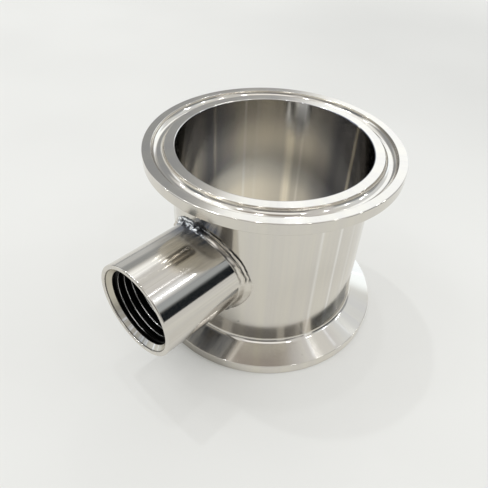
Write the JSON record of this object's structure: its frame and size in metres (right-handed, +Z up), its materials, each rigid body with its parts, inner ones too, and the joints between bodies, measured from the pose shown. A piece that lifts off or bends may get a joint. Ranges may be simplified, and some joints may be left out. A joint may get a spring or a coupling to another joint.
{
  "type": "tee fitting",
  "caption": "Polished stainless tee: a short straight tube with a grooved clamp flange at each end and a round side socket, threaded inside, for a gauge, probe or small valve.",
  "frame": {"origin": "middle of the footprint on the plane of the lower clamp face; the run axis stands 7 mm behind it, at Y = +0.007 m", "axes": "+Z up along the run, from the lower clamp face to the upper one; -Y out of the threaded socket; +X to the right when looking into the socket"},
  "size_m": [0.064, 0.078, 0.05],
  "materials": {
    "polished_tube": "polished",
    "polished_ferrule": "polished",
    "ground_weld": "polished",
    "polished_socket": "polished",
    "fillet_weld": "satin"
  },
  "bodies": {
    "root": {"run_tube": "polished_tube", "lower_ferrule": "polished_ferrule", "upper_ferrule": "polished_ferrule", "lower_girth_weld": "ground_weld", "upper_girth_weld": "ground_weld", "branch_socket": "polished_socket", "branch_weld": "fillet_weld"}
  },
  "joints": []
}
